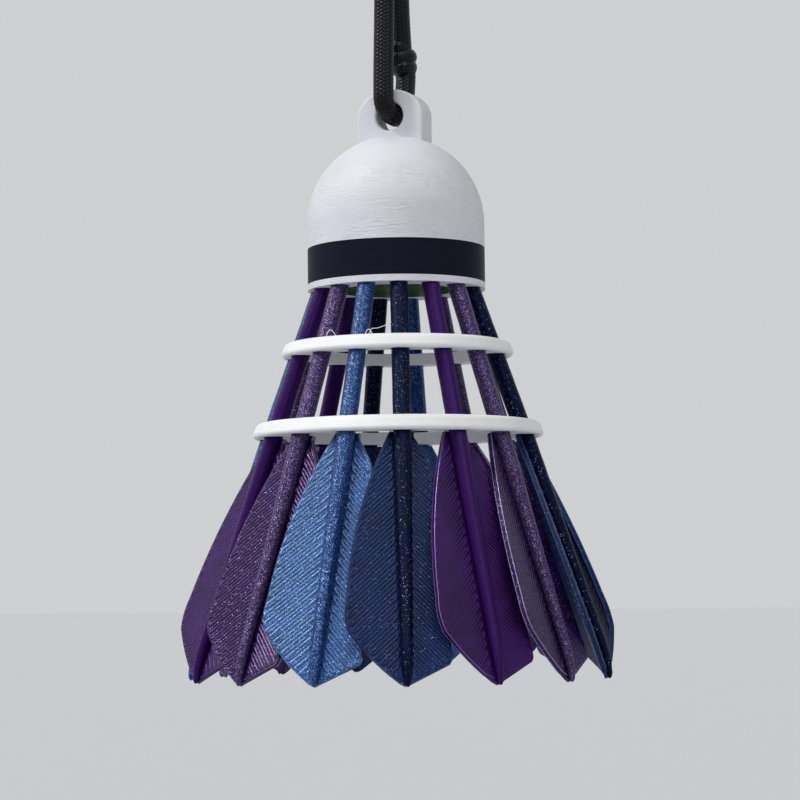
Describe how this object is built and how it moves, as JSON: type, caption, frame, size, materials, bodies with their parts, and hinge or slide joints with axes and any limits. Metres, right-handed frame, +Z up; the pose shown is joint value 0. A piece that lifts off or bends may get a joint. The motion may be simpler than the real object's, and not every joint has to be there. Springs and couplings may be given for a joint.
{
  "type": "badminton shuttlecock charm",
  "caption": "Small printed shuttlecock with a white domed cap, dark band, lacing rings and coloured feathers, hung by its eyelet from a knotted cord loop.",
  "frame": {"origin": "hang point, the inside of the cord loop's top bend", "axes": "+Z up along the shuttlecock's axis at rest, from the feather tips to the eyelet; Y along the eyelet's hole"},
  "size_m": [0.0522, 0.0518, 0.0919],
  "materials": {
    "white_print": "matte, fine print layers",
    "black_sleeve": "smooth, semi-gloss",
    "green_plug": "matte",
    "purple_silk": "silky print lines",
    "mauve_glitter": "fine glitter, print lines",
    "sky_glitter": "fine glitter, print lines",
    "navy_glitter": "sparse silver glitter, print lines",
    "black_cord": "tight round braid"
  },
  "bodies": {
    "strap": {"strap_cord": "black_cord", "strap_knot": "black_cord"},
    "shuttlecock": {"cap": "white_print", "black_band": "black_sleeve", "flange_plate": "white_print", "core_plug": "green_plug", "upper_ring": "white_print", "lower_ring": "white_print", "feather_01": "purple_silk", "feather_02": "mauve_glitter", "feather_03": "sky_glitter", "feather_04": "navy_glitter", "feather_05": "purple_silk", "feather_06": "mauve_glitter", "feather_07": "navy_glitter", "feather_08": "navy_glitter", "feather_09": "purple_silk", "feather_10": "mauve_glitter", "feather_11": "sky_glitter", "feather_12": "navy_glitter", "feather_13": "purple_silk", "feather_14": "mauve_glitter", "feather_15": "sky_glitter"}
  },
  "joints": [
    {"name": "eyelet_swing", "type": "hinge", "parent": "strap", "child": "shuttlecock", "pos_m": [0, 0, -0.02155], "axis": [0, 1, 0], "range_deg": [-90, 90]}
  ]
}
